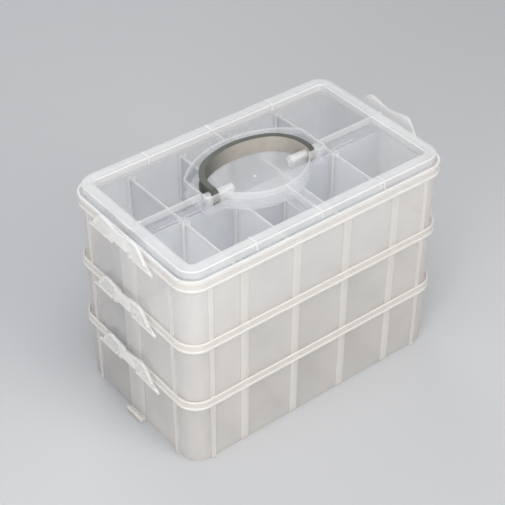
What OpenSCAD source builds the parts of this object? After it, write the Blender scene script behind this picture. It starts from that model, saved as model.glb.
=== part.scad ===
// Three-tier stacking thread box: nested trays with loose dividers, a lid with a
// folding bail handle in a round recess, and two snap latches on every joint line.
// Origin at the centre of the base, X along the long side, +Z up, millimetres.

/* [Box] */
// Length over the tray rims, without the latches
rim_l = 314; // [262:2:380]
// Width over the tray rims
rim_w = 190; // [158:2:230]
// Height from one tray's base to the next
tier_pitch = 72; // [60:1:90]
// Corner radius of the rims
corner_r = 22; // [18:1:26]

/* [Trays] */
// Thickness of the tray walls
wall_t = 1.8; // [1.5:0.1:2.2]
// Thickness of the tray floor
floor_t = 1.6; // [1.2:0.1:2.4]
// How much further out each wall stands at its top than at its base
wall_draft = 0.8; // [0.4:0.1:1.2]
// How far the rim stands out from the wall
rim_overhang = 3; // [2.4:0.1:3.6]
// Height of the rim above the seat of the next tray
rim_h = 11; // [9:0.5:13]
// Thickness of the rim
rim_t = 1.6; // [1.2:0.1:2]
// Running clearance between stacked pieces
stack_gap = 0.2; // [0.1:0.05:0.4]
// Width of the posts near the corners
post_w = 5; // [3:0.5:7]
// Distance of the end posts from the long centre line
post_y = 66; // [50:1:70]
// Width of the column in the middle of each end
column_w = 25; // [25:0.5:32]

/* [Dividers] */
// Thickness of a divider
divider_t = 1.4; // [1.2:0.1:2]
// Width of the channel that holds the end of a divider
channel_w = 5; // [4:0.2:6]
// Depth of that channel
channel_d = 3; // [2:0.2:4]
// Thickness of the ribs that form it
channel_rib = 2; // [1.2:0.2:2.6]
// Clearance of a divider in its channel
divider_gap = 0.3; // [0.2:0.05:0.5]

/* [Lid and handle] */
// Width of the raised border of the lid
border_w = 13; // [10:0.5:15]
// Height of the raised border above the lid's panel
border_h = 8.1; // [6:0.1:10]
// Thickness of the lid
lid_t = 1.6; // [1.4:0.1:2]
// Width of the handle over its two legs
handle_w = 122; // [100:1:148]
// How far the arch of the handle reaches behind its pivots
handle_reach = 50; // [41:0.5:56]
// Width of the handle strap across the arch
strap_w = 6; // [5:0.5:7]
// Height of the handle strap
strap_h = 17; // [14:0.5:17]
// Gap between the folded handle and the wall of its recess
recess_gap = 6; // [4:0.5:8]
// How far the recess reaches in front of the pivots
recess_front = 36; // [30:1:42]
// Radius of the handle pins
pin_r = 2; // [1.6:0.1:2.2]

/* [Latches] */
// Width of a latch at its foot
latch_w = 100; // [82:1:110]
// Distance between the peaks of its two lobes
lobe_gap = 52; // [44:1:60]
// Height of the lobes above the hinge axis
lobe_h = 23.4; // [20:0.2:26]
// Depth of the dip between the lobes
dip_d = 4; // [2:0.5:6]
// Thickness of the latch plate
plate_t = 1.5; // [1.2:0.1:1.8]
// Width of the raised edge of the plate
edge_w = 3; // [2:0.2:3.4]
// Lean of the closed latch away from the box, in degrees
latch_lean = 2.5; // [0:0.5:3]
// Radius of the latch's hinge rod
rod_r = 1.3; // [1:0.1:1.5]
// Radial clearance of rods and pins in their bores
bore_gap = 0.08; // [0.04:0.01:0.1]
// Width of the catch that a latch hooks
catch_w = 24; // [20:1:24]

/* [Hidden] */
$fn = 64;
TIERS = ["bottom", "middle", "top"];
ROWS = ["front", "back"];
SIDES = ["left", "right"];
CELLS = 5;
function divider_name(tier, row, i) = str("divider_", TIERS[tier], "_", ROWS[row], "_", i + 1);
function latch_name(side, tier) = str("latch_", SIDES[side], "_", TIERS[tier]);

// Sections are drawn as [distance outward from the corner axis, height]
axis_x = rim_l / 2 - corner_r;
axis_y = rim_w / 2 - corner_r;
wall_top = corner_r - rim_overhang;
wall_base = wall_top - wall_draft;
rim_in = corner_r - rim_t;
rim_top = tier_pitch + rim_h;
flare_low = tier_pitch - 3;
flare_high = tier_pitch + 1;
bead_h = 2;
bead_out = 0.6;
base_chamfer = 1.2;
inner_fillet = 2;
sunk = 0.5;
post_low = 0.6;
column_proud = 1.2;
column_foot = 0.4;
post_proud = 1.4;
post_foot = 0.6;

// Rows and cells inside a tray
cell_l = 2 * (axis_x + wall_top - wall_t) / CELLS;
partition_t = 1.5;
partition_top = tier_pitch - 0.6;
channel_top = tier_pitch - 1;
function wall_in(z) = wall_base - wall_t + wall_draft * z / flare_low;
function divider_x(i) = (i + 1 - CELLS / 2) * cell_l;

// Catch at the foot of each end, which the latch of the piece below hooks
catch_low = 2.6;
catch_h = 4.4;
catch_t = 1.6;
catch_lip = 1.8;
catch_out = corner_r + 3.9;
catch_ribs = 4;
catch_rib_t = 1.2;
catch_gap = 1.2;

// Latch hinge
hinge_out = corner_r + 3;
hinge_z = tier_pitch + 0.6;
ear_r = 2.6;
ear_t = 2.4;
ear_y = catch_w / 2 + 5.6;
ear_side_gap = 0.3;
barrel_r = 1.9;
barrel_end = ear_y + ear_t + 4;
barrel_start = catch_w / 2 + 1;
plate_in = 1.4;
plate_low = -1;
foot_h = 1.2;
edge_t = 2.4;
slot_top = 9;
hood_low = 5;
hood_high = 18;
hood_half = catch_w / 2 + 0.6;
hood_out = 4.1;
hood_t = 1.5;

// Lid levels
lid_seat = 3 * tier_pitch;
panel_low = 2 * tier_pitch + rim_top + 0.3;
panel_top = panel_low + lid_t;
border_top = panel_top + border_h;
border_out = wall_base - 0.3;
border_in = border_out - border_w;
border_draft = 0.4;
border_round = 1.2;
cross_t = 2;
cross_top = border_top - 0.2;
web_x = 76;

// Handle: a wide arc behind, two tighter shoulders and two legs down to the pivots
strap_t = 2;
strap_lift = 0.4;
shoulder_y = 4;
arch_spare = 4;
shoulder_r = handle_reach - shoulder_y - arch_spare;
shoulder_x = handle_w / 2 - shoulder_r;
arch_drop = (shoulder_x * shoulder_x - arch_spare * arch_spare) / (2 * arch_spare);
arch_y = shoulder_y - arch_drop;
arch_r = handle_reach - arch_y;
arch_turn = atan2(arch_drop, shoulder_x);
join_lap = 1;
join_trim = 0.02;

// Handle recess: wide behind the pivots, a rounder bay in front for the hand
recess_d = strap_h + strap_lift;
recess_floor = border_top - recess_d;
recess_half = handle_w / 2 + recess_gap + 3;
recess_wall = 1.8;
recess_back = handle_reach + recess_gap;
recess_back_r = arch_r + 9;
recess_step = -strap_h / 2 - 1;
bay_r = handle_w / 2 + 1;
gate_r = 1.6;
gate_h = 0.7;

// Pivots
pivot_z = recess_floor + strap_lift + strap_h / 2;
eye_gap = 0.3;
eye_out = handle_w / 2;
eye_in = eye_out - strap_w;
boss_r = 5.2;
sleeve_r = 4.6;
sleeve_l = 20;
sleeve_in = eye_in - sleeve_l;
pin_in = sleeve_in + 2;
pin_out = eye_out + 6;

// Sweeps a section round the box: four straight runs and four quarter turns
module around() {
    for (turn = [0, 180]) rotate([0, 0, turn]) {
        translate([-axis_x, axis_y, 0]) rotate([90, 0, 90]) linear_extrude(2 * axis_x) children();
        translate([axis_x, axis_y, 0]) rotate([90, 0, 0]) linear_extrude(2 * axis_y) children();
        translate([axis_x, axis_y, 0]) rotate_extrude(angle = 90) children();
        translate([-axis_x, axis_y, 0]) rotate([0, 0, 90]) rotate_extrude(angle = 90) children();
    }
}

// Puts a section on the end wall, centred on y, and runs it along Y
module on_end(y, width) {
    translate([axis_x, y + width / 2, 0]) rotate([90, 0, 0]) linear_extrude(width) children();
}

// Puts a section on the back wall, centred on x, and runs it along X
module on_back(x, width) {
    translate([x - width / 2, axis_y, 0]) rotate([90, 0, 90]) linear_extrude(width) children();
}

// Both ends, or both long sides
module twice() {
    for (turn = [0, 180]) rotate([0, 0, turn]) children();
}

module tray_section() {
    polygon([
        [0, 0], [wall_base - base_chamfer, 0], [wall_base, base_chamfer],
        [wall_top, flare_low], [corner_r, flare_high],
        [corner_r, flare_high + bead_h], [corner_r - bead_out, flare_high + bead_h + bead_out],
        [corner_r - bead_out, rim_top - bead_h], [corner_r - bead_out / 2, rim_top - bead_h / 2],
        [corner_r - bead_out / 2, rim_top - bead_out], [corner_r - bead_out, rim_top],
        [rim_in, rim_top], [rim_in, tier_pitch], [wall_top - wall_t, tier_pitch],
        [wall_in(floor_t + inner_fillet), floor_t + inner_fillet],
        [wall_in(floor_t) - inner_fillet, floor_t], [0, floor_t]
    ]);
}

// Upright on the outside of a wall, with a small foot that centres the tray
module post_section(proud, foot) {
    polygon([
        [wall_base - sunk, post_low], [wall_base + proud + foot - 0.5, post_low],
        [wall_base + proud + foot, post_low + 1], [wall_base + proud + foot, 3],
        [wall_base + proud, 4], [wall_top + proud, tier_pitch - 1.2],
        [wall_top - sunk, tier_pitch - 1.2]
    ]);
}

module catch_section() {
    polygon([
        [wall_base - sunk, catch_low], [catch_out - 0.6, catch_low], [catch_out, catch_low + 0.6],
        [catch_out, catch_low + catch_h - 0.5], [catch_out - 0.5, catch_low + catch_h],
        [catch_out - catch_lip, catch_low + catch_h], [catch_out - catch_lip, catch_low + catch_t],
        [wall_base - sunk, catch_low + catch_t]
    ]);
}

module catch() {
    on_end(0, catch_w) catch_section();
    for (i = [0:catch_ribs - 1]) {
        y = (i - (catch_ribs - 1) / 2) * (catch_w - catch_rib_t) / catch_ribs;
        translate([axis_x + wall_base - sunk, y - catch_rib_t / 2, catch_low])
            cube([catch_out - wall_base, catch_rib_t, catch_h - 1.2]);
    }
}

module ear() {
    translate([axis_x + hinge_out, 0, hinge_z]) difference() {
        rotate([90, 0, 0]) union() {
            cylinder(r = ear_r, h = ear_t, center = true);
            translate([rim_in + 0.4 - hinge_out, -ear_r, -ear_t / 2])
                cube([hinge_out - rim_in - 0.4, 2 * ear_r, ear_t]);
        }
        rotate([90, 0, 0]) cylinder(r = rod_r + bore_gap, h = 2 * ear_t, center = true);
        translate([0, -ear_t, -0.8 * rod_r]) cube([2 * ear_r, 2 * ear_t, 1.6 * rod_r]);
    }
}

// Two ribs that hold the end of a divider against the back wall
module wall_channel() {
    for (s = [-1, 1]) on_back(s * (channel_w + channel_rib) / 2, channel_rib) polygon([
        [wall_in(0) - channel_d, floor_t - sunk], [wall_in(0) + sunk, floor_t - sunk],
        [wall_in(channel_top) + sunk, channel_top], [wall_in(channel_top) - channel_d + 1, channel_top],
        [wall_in(channel_top) - channel_d, channel_top - 1]
    ]);
}

module partition_channel() {
    for (s = [-1, 1]) translate([s * (channel_w + channel_rib) / 2 - channel_rib / 2, 0, floor_t - sunk])
        cube([channel_rib, partition_t / 2 + channel_d, channel_top - floor_t + sunk]);
}

module tray(tier) color([0.86, 0.87, 0.87]) translate([0, 0, tier * tier_pitch]) {
    difference() {
        union() {
            around() tray_section();
            translate([-axis_x, -axis_y, 0]) cube([2 * axis_x, 2 * axis_y, floor_t]);
            twice() {
                on_end(0, column_w) post_section(column_proud, column_foot);
                catch();
                for (s = [-1, 1]) {
                    on_end(s * post_y, post_w) post_section(post_proud, post_foot);
                    on_back(s * (axis_x - post_w), post_w) post_section(post_proud, post_foot);
                }
            }
        }
        for (s = [-1, 1]) translate([s * (axis_x + corner_r), 0, tier_pitch + 0.2 + rim_h])
            cube([2 * rim_overhang + 0.4, catch_w + 2 * catch_gap, 2 * rim_h], center = true);
    }
    twice() for (s = [-1, 1]) translate([0, s * (ear_y + ear_t / 2), 0]) ear();
    partition_l = 2 * (axis_x + wall_in(partition_top)) + 2 * sunk;
    translate([-partition_l / 2, -partition_t / 2, floor_t - sunk])
        cube([partition_l, partition_t, partition_top - floor_t + sunk]);
    twice() for (i = [0:CELLS - 2]) translate([divider_x(i), 0, 0]) {
        wall_channel();
        partition_channel();
    }
}

// A divider is a thin plate with a flat flange at each end
module divider(tier, row, i) {
    near = partition_t / 2 + divider_gap;
    flange = channel_d - 2 * divider_gap;
    low = floor_t + divider_gap;
    high = channel_top - 1;
    color([0.82, 0.84, 0.85]) translate([divider_x(i), 0, tier * tier_pitch])
    rotate([0, 0, row == 0 ? 180 : 0]) {
        translate([-divider_t / 2, 0, 0]) rotate([90, 0, 90]) linear_extrude(divider_t) polygon([
            [near, low], [axis_y + wall_in(low) - divider_gap - inner_fillet, low],
            [axis_y + wall_in(inner_fillet + low) - divider_gap, inner_fillet + low],
            [axis_y + wall_in(high) - divider_gap, high - 2],
            [axis_y + wall_in(high) - divider_gap - 2, high], [near + 2, high], [near, high - 2]
        ]);
        flange_w = channel_w - 2 * divider_gap;
        translate([-flange_w / 2, near, low]) cube([flange_w, flange, high - 2 - low]);
        translate([-flange_w / 2, 0, 0]) rotate([90, 0, 90]) linear_extrude(flange_w) polygon([
            [axis_y + wall_in(low) - divider_gap - flange, low + inner_fillet],
            [axis_y + wall_in(low + inner_fillet) - divider_gap, low + inner_fillet],
            [axis_y + wall_in(high) - divider_gap, high - 2],
            [axis_y + wall_in(high) - divider_gap - flange, high - 2]
        ]);
    }
}

// Height of the latch's outline at distance y from its middle: two lobes and a flared foot
function latch_top(y) = let (a = abs(y), peak = lobe_gap / 2)
    a < peak
    ? lobe_h - dip_d * (1 + cos(180 * a / peak)) / 2
    : foot_h + (lobe_h - foot_h) * (1 + cos(180 * (a - peak) / (latch_w / 2 - peak))) / 2;
function latch_slope(y) = (latch_top(y + 0.1) - latch_top(y - 0.1)) / 0.2;
function inside_edge(y) = let (m = latch_slope(y), n = sqrt(1 + m * m))
    [y + edge_w * m / n, latch_top(y) - edge_w / n];
outline_y = [for (i = [0:48]) latch_w * (i / 48 - 0.5)];
edge_y = [for (i = [4:44]) latch_w * (i / 48 - 0.5)];

module latch_shape() {
    difference() {
        rotate([0, latch_lean, 0]) {
            difference() {
                translate([plate_in, 0, 0]) rotate([90, 0, 90]) linear_extrude(plate_t)
                    polygon(concat([for (y = outline_y) [y, latch_top(y)]],
                        [[latch_w / 2, plate_low], [-latch_w / 2, plate_low]]));
                translate([0, -hood_half, 2 * plate_low])
                    cube([hood_out, 2 * hood_half, hood_low - 2 * plate_low]);
            }
            translate([plate_in, 0, 0]) rotate([90, 0, 90]) linear_extrude(edge_t)
                polygon(concat([for (y = edge_y) [y, latch_top(y)]],
                    [for (i = [len(edge_y) - 1:-1:0]) inside_edge(edge_y[i])]));
            translate([plate_in, -hood_half, hood_low])
                cube([hood_out - plate_in, 2 * hood_half, hood_high - hood_low]);
        }
        rotate([0, latch_lean, 0]) translate([0, -hood_half + hood_t, hood_low + hood_t])
            cube([hood_out - hood_t, 2 * (hood_half - hood_t), hood_high - hood_low - 2 * hood_t]);
        for (s = [-1, 1]) translate([0, s * (ear_y + ear_t / 2), 0])
            translate([-2 * ear_r, -ear_t / 2 - ear_side_gap, -2 * ear_r])
                cube([4 * ear_r, ear_t + 2 * ear_side_gap, slot_top + 2 * ear_r]);
    }
    for (s = [-1, 1]) {
        hinge_round(s, barrel_r, barrel_start, ear_y - ear_side_gap - 0.1);
        hinge_round(s, barrel_r, ear_y + ear_t + ear_side_gap + 0.1, barrel_end);
        hinge_round(s, rod_r, barrel_start + 0.5, barrel_end - 0.5);
    }
}

// A round bar on the hinge axis, from y0 to y1 on side s
module hinge_round(s, r, y0, y1) {
    translate([0, s * y1, 0]) rotate([s * 90, 0, 0]) cylinder(r = r, h = y1 - y0);
}

module latch(side, tier) {
    color([0.9, 0.9, 0.89]) rotate([0, 0, side == 0 ? 180 : 0])
        translate([axis_x + hinge_out, 0, tier * tier_pitch + hinge_z]) latch_shape();
}

module lid_section() {
    skin = lid_t;
    polygon([
        [0, panel_low], [border_in + skin, panel_low],
        [border_in + skin + border_draft, border_top - skin],
        [border_out - skin - border_draft, border_top - skin],
        [border_out - skin, panel_low], [wall_base - skin, lid_seat + stack_gap],
        [wall_base - 0.5, lid_seat + stack_gap], [wall_base, lid_seat + stack_gap + 0.5],
        [border_out, panel_low], [corner_r - 0.8, panel_low], [corner_r - 0.2, panel_low + 0.6],
        [corner_r - 0.2, panel_top - 0.4], [corner_r - 0.6, panel_top],
        [border_out, panel_top], [border_out - border_draft, border_top - border_round],
        [border_out - border_draft - border_round, border_top],
        [border_in + border_draft + border_round, border_top],
        [border_in + border_draft, border_top - border_round], [border_in, panel_top], [0, panel_top]
    ]);
}

// The recess follows the handle behind its pivots and is a round bay in front of them
module recess_plan(grow) {
    far = recess_back + bay_r;
    intersection() {
        translate([0, recess_back - recess_back_r]) circle(r = recess_back_r + grow);
        translate([-recess_half - grow, recess_step - grow]) square([2 * (recess_half + grow), far]);
    }
    intersection() {
        translate([0, bay_r - recess_front]) circle(r = bay_r + grow);
        translate([-bay_r - grow, -recess_front - grow]) square([2 * (bay_r + grow), recess_front]);
    }
}

module cross_rib(x0, x1) {
    low = recess_floor - lid_t / 2;
    translate([x0, -cross_t / 2, low]) cube([x1 - x0, cross_t, cross_top - low]);
}

module lid_body() {
    difference() {
        union() {
            around() lid_section();
            translate([-axis_x, -axis_y, panel_low]) cube([2 * axis_x, 2 * axis_y, lid_t]);
            translate([0, 0, recess_floor - lid_t])
                linear_extrude(recess_d + lid_t) recess_plan(recess_wall);
            twice() {
                cross_rib(recess_half, axis_x + border_in + 1);
                translate([axis_x + border_in, -cross_t / 2, lid_seat + 1])
                    cube([border_w, cross_t, border_top - lid_seat - 1.5]);
                rotate([0, 0, 90]) cross_rib(recess_front - 1, axis_y + border_in + 1);
                for (x = [-web_x, 0, web_x])
                    translate([x - cross_t / 2, axis_y + border_in + 0.5, panel_low])
                        cube([cross_t, border_w - 1, border_top - panel_low - 0.5]);
                translate([0, 0, lid_seat]) catch();
            }
        }
        translate([0, 0, recess_floor]) linear_extrude(2 * recess_d) recess_plan(0);
    }
}

module along_x(r, x0, x1) {
    translate([x0, 0, 0]) rotate([0, 90, 0]) cylinder(r = r, h = x1 - x0);
}

module lid() color([0.88, 0.89, 0.89]) {
    difference() {
        union() {
            lid_body();
            twice() {
                translate([0, 0, pivot_z]) {
                    along_x(boss_r, eye_out + eye_gap, recess_half + 1);
                    along_x(sleeve_r, sleeve_in, eye_in - eye_gap);
                }
                translate([eye_out + eye_gap, -boss_r, recess_floor - sunk])
                    cube([recess_half + 1 - eye_out - eye_gap, 2 * boss_r, pivot_z - recess_floor + sunk]);
                translate([sleeve_in, -cross_t, recess_floor - sunk])
                    cube([eye_in - eye_gap - sleeve_in, 2 * cross_t, pivot_z - recess_floor + sunk]);
            }
            translate([0, (recess_back - recess_front) / 2, recess_floor - sunk])
                cylinder(r = gate_r, h = gate_h + sunk);
        }
        twice() translate([0, 0, pivot_z]) along_x(pin_r + bore_gap, sleeve_in - 1, pin_out + eye_gap);
    }
}

// The strap is a channel that opens outward, swept here about one centre
module strap(r, turn_from, turn_to, trim = 0) {
    rotate([0, 0, turn_from]) rotate_extrude(angle = turn_to - turn_from) strap_section(r, trim);
}

module strap_section(r, trim) {
    near = r - strap_w + trim;
    far = r - trim;
    high = strap_h / 2 - trim;
    web = strap_t - 2 * trim;
    polygon([
        [near, -high], [far, -high], [far, -high + web], [near + web, -high + web],
        [near + web, high - web], [far, high - web], [far, high], [near, high]
    ]);
}

module handle() color([0.42, 0.43, 0.39]) translate([0, 0, pivot_z]) {
    difference() {
        union() {
            translate([0, arch_y, 0]) strap(arch_r, arch_turn, 180 - arch_turn);
            for (side = [0, 1]) mirror([side, 0, 0]) {
                translate([shoulder_x, shoulder_y, 0])
                    strap(shoulder_r, -join_lap, arch_turn + join_lap, join_trim);
                translate([eye_in, 0, -strap_h / 2]) cube([strap_w, shoulder_y, strap_h]);
                along_x(strap_h / 2, eye_in, eye_out);
            }
        }
        along_x(pin_r + bore_gap, -eye_out - 1, eye_out + 1);
    }
}

module handle_pin(side) color([0.93, 0.93, 0.92]) {
    rotate([0, 0, side == 0 ? 180 : 0]) translate([0, 0, pivot_z]) along_x(pin_r, pin_in, pin_out);
}

for (tier = [0:2]) {
    tray(tier);
}
lid();
handle();
handle_pin(0);  // handle_pin_left
handle_pin(1);  // handle_pin_right
for (side = [0:1]) for (tier = [0:2]) {
    latch(side, tier);
}
for (tier = [0:2]) for (row = [0:1]) for (i = [0:CELLS - 2]) {
    divider(tier, row, i);
}
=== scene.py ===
"""Looks for the three-tier stacking thread box: frosted plastic shells, a grey bail handle,
a pale studio floor, soft lamps and the photograph's camera."""
import math

import bpy
from mathutils import Matrix, Vector


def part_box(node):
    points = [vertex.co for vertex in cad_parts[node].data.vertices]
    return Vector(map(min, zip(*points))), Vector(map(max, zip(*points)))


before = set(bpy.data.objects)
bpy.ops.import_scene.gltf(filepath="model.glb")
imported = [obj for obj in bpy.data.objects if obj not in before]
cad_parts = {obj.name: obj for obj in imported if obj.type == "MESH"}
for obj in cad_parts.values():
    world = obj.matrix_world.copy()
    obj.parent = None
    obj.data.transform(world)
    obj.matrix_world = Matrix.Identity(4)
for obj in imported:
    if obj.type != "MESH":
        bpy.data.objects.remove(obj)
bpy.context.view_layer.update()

scene = bpy.context.scene

MM = 0.001


def mm(*values):
    """Millimetres as the frame's metres."""
    return [value * MM for value in values]


# Camera, as the photograph shows the box: degrees, metres and pixels
CAM_AZIMUTH = -38.11
CAM_ELEVATION = 38.79
CAM_ROLL = 0.08
CAM_DISTANCE = 1.376
CAM_AIM = (-0.00823, 0.00936)
CAM_HEIGHT = 0.120
CAM_FOCUS = 1371.9
CAM_NEAR, CAM_FAR = 0.05, 50
FRAME_PX = 505
SENSOR = 36.0

# The box's sweep: the centres of its corner arcs, the rise of a tier, the width of a cell
AXIS_X, AXIS_Y, PITCH = mm(135, 73, 72)
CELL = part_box("divider_top_back_3")[0][0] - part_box("divider_top_back_2")[0][0]

# Outward from the corner centres: inside the wall, just past its outer face, at the beads
WALL_IN, WALL_OUT, BEAD_OUT = mm(17.4, 19.3, 21.3)
HALF_CHANNEL = 4.6 * MM
CHANNEL_REACH = mm(2.5, 70)
LOW_BEAD = mm(0.9, 3.2)
TOP_BEAD = mm(9.2, 11.2)
# Across the width: where the cells' painted shade comes in, from the lit front row to the darker
# back row
BACK_ROW_SHADE_SPAN = mm(-12, 12)

# Heights of the lid's levels
LID_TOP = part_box("lid")[1][2]
PANEL_TOP = LID_TOP - 8.1 * MM
RECESS_FLOOR = LID_TOP - 17.4 * MM
PIVOT_TOP = RECESS_FLOOR + 14.4 * MM
CROWN = mm(-1.6, -0.9)

# The lid's places: outward, then along its length and its width
BORDER_STEP = mm(3.5, 4.5)
BORDER_FLAT = mm(6.6, 15.8)
LID_RIM = mm(19.0, 20.5)
RECESS_REACH = mm(-20, -10)
WEB_X, WEB_HALF = mm(76, 1.1)
WEB_START = mm(4.2, 4.6)
NUB_LENGTH = mm(2, 3)
NUB_WIDTH = mm(7.5, 12.5)
PIVOT_LENGTH = mm(34.5, 71)
PIVOT_WIDTH = mm(6, 7)

# The small pieces' places
DIVIDER_EDGE = mm(66.6, 68)
DIVIDER_FLANGE = mm(0.9, 1.2)
HINGE_X, HINGE_Z, BELOW_HINGE = mm(160, 0.6, 10)
LATCH_LEAN = math.sin(math.radians(2.5))
LATCH_EDGE = mm(3.0, 3.2)
LATCH_ROD = mm(2.4, 3.4)
PIN_IN_BOSS = mm(48, 56)
# Along the handle: where its painted sheen comes in, towards +x
HANDLE_SHEEN_SPAN = mm(-52, 10)

# Finishes
WHITE = (0.905, 0.90, 0.885, 1)
COOL_MILK = (0.93, 0.935, 0.94, 1)
# The cells' back-row inside colour: a painted shade, darker than the lit front-row milk
CELL_PAINTED_SHADE = (0.72, 0.735, 0.76, 1)
TRAY_OUTSIDE = (0.87, 0.815, 0.755, 1)
LATCH_MILK = (0.95, 0.945, 0.935, 1)
OLIVE = (0.075, 0.079, 0.066, 1)
# The handle's painted sheen: a lighter olive standing in for the key lamp's reflection
OLIVE_PAINTED_SHEEN = (0.365, 0.34, 0.305, 1)
CLEAR_TINT = (0.975, 0.98, 0.988, 1)
FLOOR_GREY = (0.47, 0.478, 0.49, 1)
STUDIO_SKY = (0.88, 0.89, 0.91, 1)
SCATTERED_ON = 0.4
PLASTIC_IOR = 1.45
GRAIN_DEPTH = 0.2 * MM


def make_camera():
    a, e, r = (math.radians(v) for v in (CAM_AZIMUTH, CAM_ELEVATION, CAM_ROLL))
    back = Vector((math.sin(a) * math.cos(e), -math.cos(a) * math.cos(e), math.sin(e)))
    right = Vector((math.cos(a), math.sin(a), 0))
    up = back.cross(right)
    right, up = right * math.cos(r) + up * math.sin(r), up * math.cos(r) - right * math.sin(r)
    place = Vector((0, 0, CAM_HEIGHT)) + right * CAM_AIM[0] + up * CAM_AIM[1]
    place += back * CAM_DISTANCE
    data = bpy.data.cameras.new("camera")
    data.sensor_width = SENSOR
    data.lens = CAM_FOCUS / FRAME_PX * SENSOR
    data.clip_start, data.clip_end = CAM_NEAR, CAM_FAR
    camera = bpy.data.objects.new("camera", data)
    scene.collection.objects.link(camera)
    turn = Matrix((right, up, back)).transposed()
    camera.matrix_world = Matrix.Translation(place) @ turn.to_4x4()
    scene.camera = camera


class Kit:
    """Short makers for the nodes and links of one shader tree."""

    def __init__(self, tree):
        self.tree = tree

    def add(self, kind, **settings):
        made = self.tree.nodes.new(kind)
        for name, value in settings.items():
            setattr(made, name, value)
        return made

    def put(self, socket, value):
        """Links an output, or sets a plain value."""
        if isinstance(value, bpy.types.NodeSocket):
            self.tree.links.new(value, socket)
        else:
            socket.default_value = value

    def fill(self, node, **values):
        """Puts values into a node's inputs by their names, with _ for a space."""
        for name, value in values.items():
            self.put(node.inputs[name.replace("_", " ")], value)
        return node

    def maths(self, operation, *values):
        made = self.add("ShaderNodeMath", operation=operation)
        for socket, value in zip(made.inputs, values):
            self.put(socket, value)
        return made.outputs[0]

    def rise(self, value, low, high):
        """0 below low, 1 above high, smooth between them."""
        made = self.add("ShaderNodeMapRange", interpolation_type="SMOOTHSTEP")
        return self.fill(made, Value=value, From_Min=low, From_Max=high).outputs[0]

    def fall(self, value, low, high):
        """1 below low, 0 above high, smooth between them."""
        return self.maths("SUBTRACT", 1.0, self.rise(value, low, high))

    def band(self, value, low, high, soft):
        """1 between low and high, 0 outside, with soft borders."""
        return self.all_of(self.rise(value, low - soft, low), self.fall(value, high, high + soft))

    def all_of(self, *masks):
        total = masks[0]
        for mask in masks[1:]:
            total = self.maths("MULTIPLY", total, mask)
        return total

    def any_of(self, *masks):
        total = masks[0]
        for mask in masks[1:]:
            total = self.maths("MAXIMUM", total, mask)
        return total

    def mix(self, kind, factor, first, second):
        made = self.add("ShaderNodeMix", data_type=kind)
        a, b = (6, 7) if kind == "RGBA" else (2, 3)
        for index, value in ((0, factor), (a, first), (b, second)):
            self.put(made.inputs[index], value)
        return made.outputs[2 if kind == "RGBA" else 0]

    def mix_shaders(self, factor, first, second):
        made = self.add("ShaderNodeMixShader")
        for socket, value in zip(made.inputs, (factor, first, second)):
            self.put(socket, value)
        return made.outputs[0]

    def noise(self, place, **values):
        return self.fill(self.add("ShaderNodeTexNoise"), Vector=place, **values).outputs[0]

    def grain_normal(self, strength, height):
        bump = self.add("ShaderNodeBump")
        return self.fill(bump, Strength=strength, Distance=GRAIN_DEPTH, Height=height).outputs[0]

    def split(self, vector):
        """The x, y and z of a vector."""
        made = self.add("ShaderNodeSeparateXYZ")
        self.put(made.inputs[0], vector)
        return made.outputs


def new_group(name, inputs, outputs):
    tree = bpy.data.node_groups.new(name, "ShaderNodeTree")
    for label, kind, value in inputs:
        made = tree.interface.new_socket(label, in_out="INPUT", socket_type="NodeSocket" + kind)
        made.default_value = value
    for label, kind in outputs:
        tree.interface.new_socket(label, in_out="OUTPUT", socket_type="NodeSocket" + kind)
    kit = Kit(tree)
    return tree, kit, kit.add("NodeGroupInput").outputs, kit.add("NodeGroupOutput").inputs


def swept_place_group():
    """Where a point lies in the box's swept sections: outward, up within its tier, sideways
    from the nearest divider, and its plain height, half length, half width and depth."""
    tree, kit, given, out = new_group(
        "swept place",
        (("Axis X", "Float", AXIS_X), ("Axis Y", "Float", AXIS_Y), ("Pitch", "Float", PITCH),
         ("Cell", "Float", CELL)),
        (("Outward", "Float"), ("Level", "Float"), ("From Divider", "Float"), ("Height", "Float"),
         ("Half Length", "Float"), ("Half Width", "Float"), ("Back", "Float")))
    x, y, z = kit.split(kit.add("ShaderNodeTexCoord").outputs["Object"])
    far_x, far_y = kit.maths("ABSOLUTE", x), kit.maths("ABSOLUTE", y)
    past_x = kit.maths("SUBTRACT", far_x, given["Axis X"])
    past_y = kit.maths("SUBTRACT", far_y, given["Axis Y"])
    squares = [kit.maths("POWER", kit.maths("MAXIMUM", past, 0.0), 2.0)
               for past in (past_x, past_y)]
    corner = kit.maths("SQRT", kit.maths("ADD", *squares))
    inner = kit.maths("MINIMUM", kit.maths("MAXIMUM", past_x, past_y), 0.0)
    kit.put(out["Outward"], kit.maths("ADD", corner, inner))
    kit.put(out["Level"], kit.maths("FLOORED_MODULO", z, given["Pitch"]))
    cells = kit.maths("ADD", kit.maths("DIVIDE", x, given["Cell"]), 0.5)
    near = kit.maths("PINGPONG", cells, 0.5)
    kit.put(out["From Divider"], kit.maths("MULTIPLY", near, given["Cell"]))
    kit.put(out["Height"], z)
    kit.put(out["Half Length"], far_x)
    kit.put(out["Half Width"], far_y)
    kit.put(out["Back"], y)
    return tree


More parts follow.
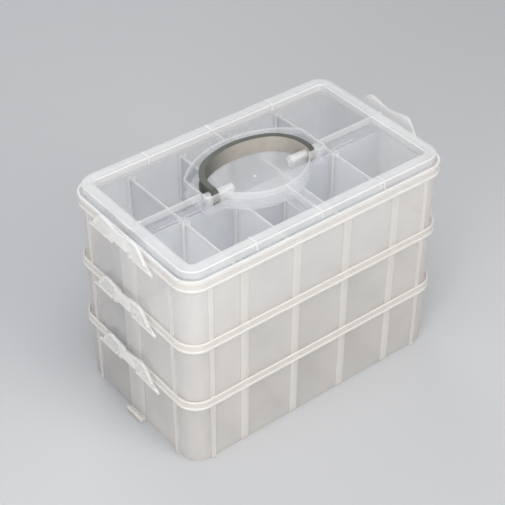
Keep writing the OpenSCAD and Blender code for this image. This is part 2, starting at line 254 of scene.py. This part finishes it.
def frosted_group():
    """Moulded frosted plastic: milkier where it is thick, in a faint cloudy mottle and grain."""
    tree, kit, given, out = new_group(
        "frosted plastic",
        (("Colour", "Color", COOL_MILK), ("Thick Colour", "Color", WHITE),
         ("Milkiness", "Float", 0.3), ("Thick Milkiness", "Float", 0.9), ("Thick", "Float", 0.0),
         ("Roughness", "Float", 0.3), ("Grain", "Float", 0.1)),
        (("Colour", "Color"), ("Milkiness", "Float"), ("Roughness", "Float"),
         ("Normal", "Vector")))
    place = kit.add("ShaderNodeTexCoord").outputs["Object"]
    cloud = kit.noise(place, Scale=16.0, Detail=3.0, Roughness=0.55)
    drift = kit.fill(kit.add("ShaderNodeMapRange"), Value=cloud, From_Min=0.3, From_Max=0.7,
                     To_Min=0.90, To_Max=1.10).outputs[0]
    milk = kit.maths("MULTIPLY", given["Milkiness"], drift)
    thick = given["Thick"]
    kit.put(out["Milkiness"], kit.mix("FLOAT", thick, milk, given["Thick Milkiness"]))
    kit.put(out["Colour"], kit.mix("RGBA", thick, given["Colour"], given["Thick Colour"]))
    grain = kit.noise(place, Scale=900.0, Detail=2.0)
    kit.put(out["Roughness"], kit.maths("MULTIPLY_ADD", grain, 0.12, given["Roughness"]))
    kit.put(out["Normal"], kit.grain_normal(given["Grain"], grain))
    return tree


def frosted(name, groups, thick, inner=None, **values):
    material = bpy.data.materials.new(name)
    material.use_nodes = True
    tree = material.node_tree
    tree.nodes.clear()
    kit = Kit(tree)
    place = kit.fill(kit.add("ShaderNodeGroup", node_tree=groups["place"]),
                     Axis_X=AXIS_X, Axis_Y=AXIS_Y, Pitch=PITCH, Cell=CELL).outputs
    look = kit.fill(kit.add("ShaderNodeGroup", node_tree=groups["frosted"]),
                    Thick=thick(kit, place), **values)
    if inner:
        # Painted light on the inside faces: lit milk on the front row, a painted shade on the back
        # row
        inside = kit.mix("RGBA", kit.rise(place["Back"], *BACK_ROW_SHADE_SPAN), *inner)
        outside = kit.rise(place["Outward"], WALL_IN, WALL_IN + 0.5 * MM)
        kit.put(look.inputs["Colour"], kit.mix("RGBA", outside, inside, values["Colour"]))
    colour = look.outputs["Colour"]
    skin = kit.fill(kit.add("ShaderNodeBsdfPrincipled"), Base_Color=colour, IOR=PLASTIC_IOR,
                    Roughness=look.outputs["Roughness"], Normal=look.outputs["Normal"])
    glow = kit.fill(kit.add("ShaderNodeBsdfTranslucent"), Color=colour)
    body = kit.mix_shaders(SCATTERED_ON, skin.outputs[0], glow.outputs[0])
    clear = kit.fill(kit.add("ShaderNodeBsdfTransparent"), Color=CLEAR_TINT)
    surface = kit.mix_shaders(look.outputs["Milkiness"], clear.outputs[0], body)
    kit.fill(kit.add("ShaderNodeOutputMaterial"), Surface=surface)
    return material


def thick_tray(kit, at):
    """Channels, posts, columns, rims and their beads."""
    outward, level = at["Outward"], at["Level"]
    channel = kit.all_of(
        kit.fall(at["From Divider"], HALF_CHANNEL - 0.5 * MM, HALF_CHANNEL + 0.3 * MM),
        kit.fall(at["Half Length"], 2 * CELL - 2 * MM, 2 * CELL),
        kit.band(level, *CHANNEL_REACH, 1.5 * MM),
        kit.mix("FLOAT", kit.rise(outward, WALL_IN, WALL_IN + 0.5 * MM), 0.95, 0.55))
    proud = kit.maths("MULTIPLY", kit.rise(outward, WALL_OUT - 0.1 * MM, WALL_OUT + 0.3 * MM), 0.45)
    beads = kit.any_of(*(kit.band(level, *reach, 0.4 * MM) for reach in (LOW_BEAD, TOP_BEAD)))
    at_beads = kit.rise(outward, BEAD_OUT - 0.2 * MM, BEAD_OUT + 0.2 * MM)
    return kit.any_of(channel, proud, kit.all_of(beads, at_beads))


def thick_lid(kit, at):
    """Raised border with its rounded edges, cross webs, recess floor, pivots, nub and rim."""
    outward, height = at["Outward"], at["Height"]
    half_length, half_width = at["Half Length"], at["Half Width"]
    raised = kit.rise(height, PANEL_TOP + 0.3 * MM, PANEL_TOP + 0.9 * MM)
    on_border = kit.rise(outward, *BORDER_STEP)
    panel = kit.all_of(raised, kit.mix("FLOAT", on_border, 0.22, 0.36))
    edge = kit.all_of(
        kit.rise(height, LID_TOP + CROWN[0], LID_TOP + CROWN[1]),
        kit.maths("SUBTRACT", 1.0, kit.band(outward, *BORDER_FLAT, 0.5 * MM)),
        kit.mix("FLOAT", on_border, 0.30, 0.85))
    rim = kit.maths("MULTIPLY", kit.rise(outward, *LID_RIM), 0.9)
    floor = kit.all_of(
        kit.fall(height, RECESS_FLOOR + 0.1 * MM, RECESS_FLOOR + 0.3 * MM),
        kit.fall(outward, *RECESS_REACH), 0.26)
    nub = kit.all_of(
        kit.rise(height, RECESS_FLOOR + 0.2 * MM, RECESS_FLOOR + 0.4 * MM),
        kit.fall(half_length, *NUB_LENGTH), kit.band(half_width, *NUB_WIDTH, 0.5 * MM),
        kit.maths("SUBTRACT", 1.0, raised))
    at_web = kit.any_of(*(kit.band(half_length, x - WEB_HALF, x + WEB_HALF, 0.3 * MM)
                          for x in (0, WEB_X)))
    web_start = kit.rise(half_width, *(AXIS_Y + past for past in WEB_START))
    web = kit.all_of(at_web, web_start, raised, 0.8)
    pivot = kit.all_of(
        kit.band(half_length, *PIVOT_LENGTH, 0.4 * MM),
        kit.band(height, RECESS_FLOOR + 0.6 * MM, PIVOT_TOP, 0.3 * MM),
        kit.fall(half_width, *PIVOT_WIDTH), 0.45)
    return kit.any_of(panel, edge, rim, floor, nub, web, pivot)


def thick_divider(kit, at):
    """The top edge and the flat flanges at the ends."""
    edge = kit.rise(at["Level"], *DIVIDER_EDGE)
    flange = kit.maths("MULTIPLY", kit.rise(at["From Divider"], *DIVIDER_FLANGE), 0.8)
    return kit.any_of(edge, flange)


def thick_latch(kit, at):
    """The raised edge of the leaning plate and the hinge rod."""
    above_foot = kit.maths("ADD", at["Height"], BELOW_HINGE - PITCH - HINGE_Z)
    above_hinge = kit.maths(
        "SUBTRACT", kit.maths("FLOORED_MODULO", above_foot, PITCH), BELOW_HINGE)
    lean = kit.maths("MULTIPLY", above_hinge, LATCH_LEAN)
    from_plate = kit.maths("SUBTRACT", kit.maths("SUBTRACT", at["Half Length"], HINGE_X), lean)
    rod = kit.maths("MULTIPLY", kit.fall(above_hinge, *LATCH_ROD), 0.7)
    return kit.any_of(kit.rise(from_plate, *LATCH_EDGE), rod)


def thick_pin(kit, at):
    """The end in the lid's boss is seen through the boss and keeps the same milky white."""
    return kit.rise(at["Half Length"], *PIN_IN_BOSS)


def handle_plastic():
    """Olive grey plastic with a painted sheen, lighter on its upright faces towards +x, with a fine
    moulded grain.
    """
    material = bpy.data.materials.new("grey handle")
    material.use_nodes = True
    tree = material.node_tree
    kit = Kit(tree)
    coordinates = kit.add("ShaderNodeTexCoord").outputs
    place = coordinates["Object"]
    facing_up = kit.maths("ABSOLUTE", kit.split(coordinates["Normal"])[2])
    # Painted sheen: upright faces turn a lighter olive towards +x, where the key lamp's reflection
    # would fall
    pale = kit.all_of(kit.fall(facing_up, 0.3, 0.7), kit.rise(kit.split(place)[0], *HANDLE_SHEEN_SPAN))
    base = kit.mix("RGBA", pale, OLIVE, OLIVE_PAINTED_SHEEN)
    cloud = kit.noise(place, Scale=90.0, Detail=3.0)
    tone = kit.add("ShaderNodeVectorMath", operation="SCALE")
    kit.put(tone.inputs[0], base)
    kit.fill(tone, Scale=kit.maths("MULTIPLY_ADD", cloud, 0.24, 0.88))
    grain = kit.noise(place, Scale=1100.0, Detail=2.0)
    kit.fill(tree.nodes["Principled BSDF"], Base_Color=tone.outputs[0],
             Roughness=kit.maths("MULTIPLY_ADD", grain, 0.15, 0.34),
             Normal=kit.grain_normal(0.15, grain))
    return material


def make_floor():
    """A wide pale floor just below the base."""
    reach, drop = 6.0, 0.3 * MM
    material = bpy.data.materials.new("pale floor")
    material.use_nodes = True
    skin = material.node_tree.nodes["Principled BSDF"]
    skin.inputs["Base Color"].default_value = FLOOR_GREY
    skin.inputs["Roughness"].default_value = 0.9
    skin.inputs["Specular IOR Level"].default_value = 0.1
    mesh = bpy.data.meshes.new("floor")
    corners = [(x * reach, y * reach, 0) for x, y in ((-1, -1), (1, -1), (1, 1), (-1, 1))]
    mesh.from_pydata(corners, [], [(0, 1, 2, 3)])
    floor = bpy.data.objects.new("floor", mesh)
    scene.collection.objects.link(floor)
    floor.location.z = -drop
    mesh.materials.append(material)


def make_lamp(name, place, size, watts, colour):
    """A square soft lamp that looks at the middle of the box."""
    target = Vector((0, 0, 0.1))
    data = bpy.data.lights.new(name, "AREA")
    data.size = size
    data.energy = watts
    data.color = colour
    lamp = bpy.data.objects.new(name, data)
    scene.collection.objects.link(lamp)
    lamp.location = place
    lamp.rotation_euler = (target - Vector(place)).to_track_quat("-Z", "Y").to_euler()


def make_light():
    make_lamp("key", (0.6, -2.0, 1.5), 1.2, 23, (1, 0.95, 0.88))
    make_lamp("top", (-0.4, -0.6, 2.0), 1.4, 29, (0.98, 0.985, 1))
    make_lamp("side", (-1.3, -0.75, 0.5), 0.6, 11, (1, 0.985, 0.965))
    make_lamp("back", (0.5, 2.0, 1.4), 1.4, 17, (0.95, 0.97, 1))
    world = bpy.data.worlds.new("studio")
    world.use_nodes = True
    sky = world.node_tree.nodes["Background"].inputs
    sky["Color"].default_value = STUDIO_SKY
    sky["Strength"].default_value = 0.36
    scene.world = world


def dress():
    """Gives every moulded piece its material."""
    groups = {"place": swept_place_group(), "frosted": frosted_group()}
    # The cells' inside colours: lit front-row milk and a painted back-row shade
    cells = (COOL_MILK, CELL_PAINTED_SHADE)
    looks = {
        "tray": frosted("frosted tray", groups, thick_tray, inner=cells, Colour=TRAY_OUTSIDE,
                        Thick_Colour=WHITE, Milkiness=0.43, Thick_Milkiness=0.93),
        "lid": frosted("frosted lid", groups, thick_lid, Colour=COOL_MILK,
                       Thick_Colour=WHITE, Milkiness=0.10, Thick_Milkiness=0.85, Roughness=0.22),
        "divider": frosted("frosted divider", groups, thick_divider, inner=cells,
                           Colour=COOL_MILK, Thick_Colour=WHITE, Milkiness=0.5,
                           Thick_Milkiness=0.9),
        "latch": frosted("frosted latch", groups, thick_latch, Colour=LATCH_MILK,
                         Thick_Colour=WHITE, Milkiness=0.42, Thick_Milkiness=0.92),
        "handle": handle_plastic(),
        "handle_pin": frosted("white pin", groups, thick_pin, Colour=WHITE, Thick_Colour=WHITE,
                              Milkiness=0.5, Thick_Milkiness=0.9),
    }
    for name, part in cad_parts.items():
        kind = "handle_pin" if name.startswith("handle_pin") else name.split("_")[0]
        part.data.materials.clear()
        part.data.materials.append(looks[kind])


make_camera()
make_floor()
make_light()
dress()

scene.view_settings.view_transform = "Standard"
scene.cycles.transparent_max_bounces = 64
scene.cycles.diffuse_bounces = 6
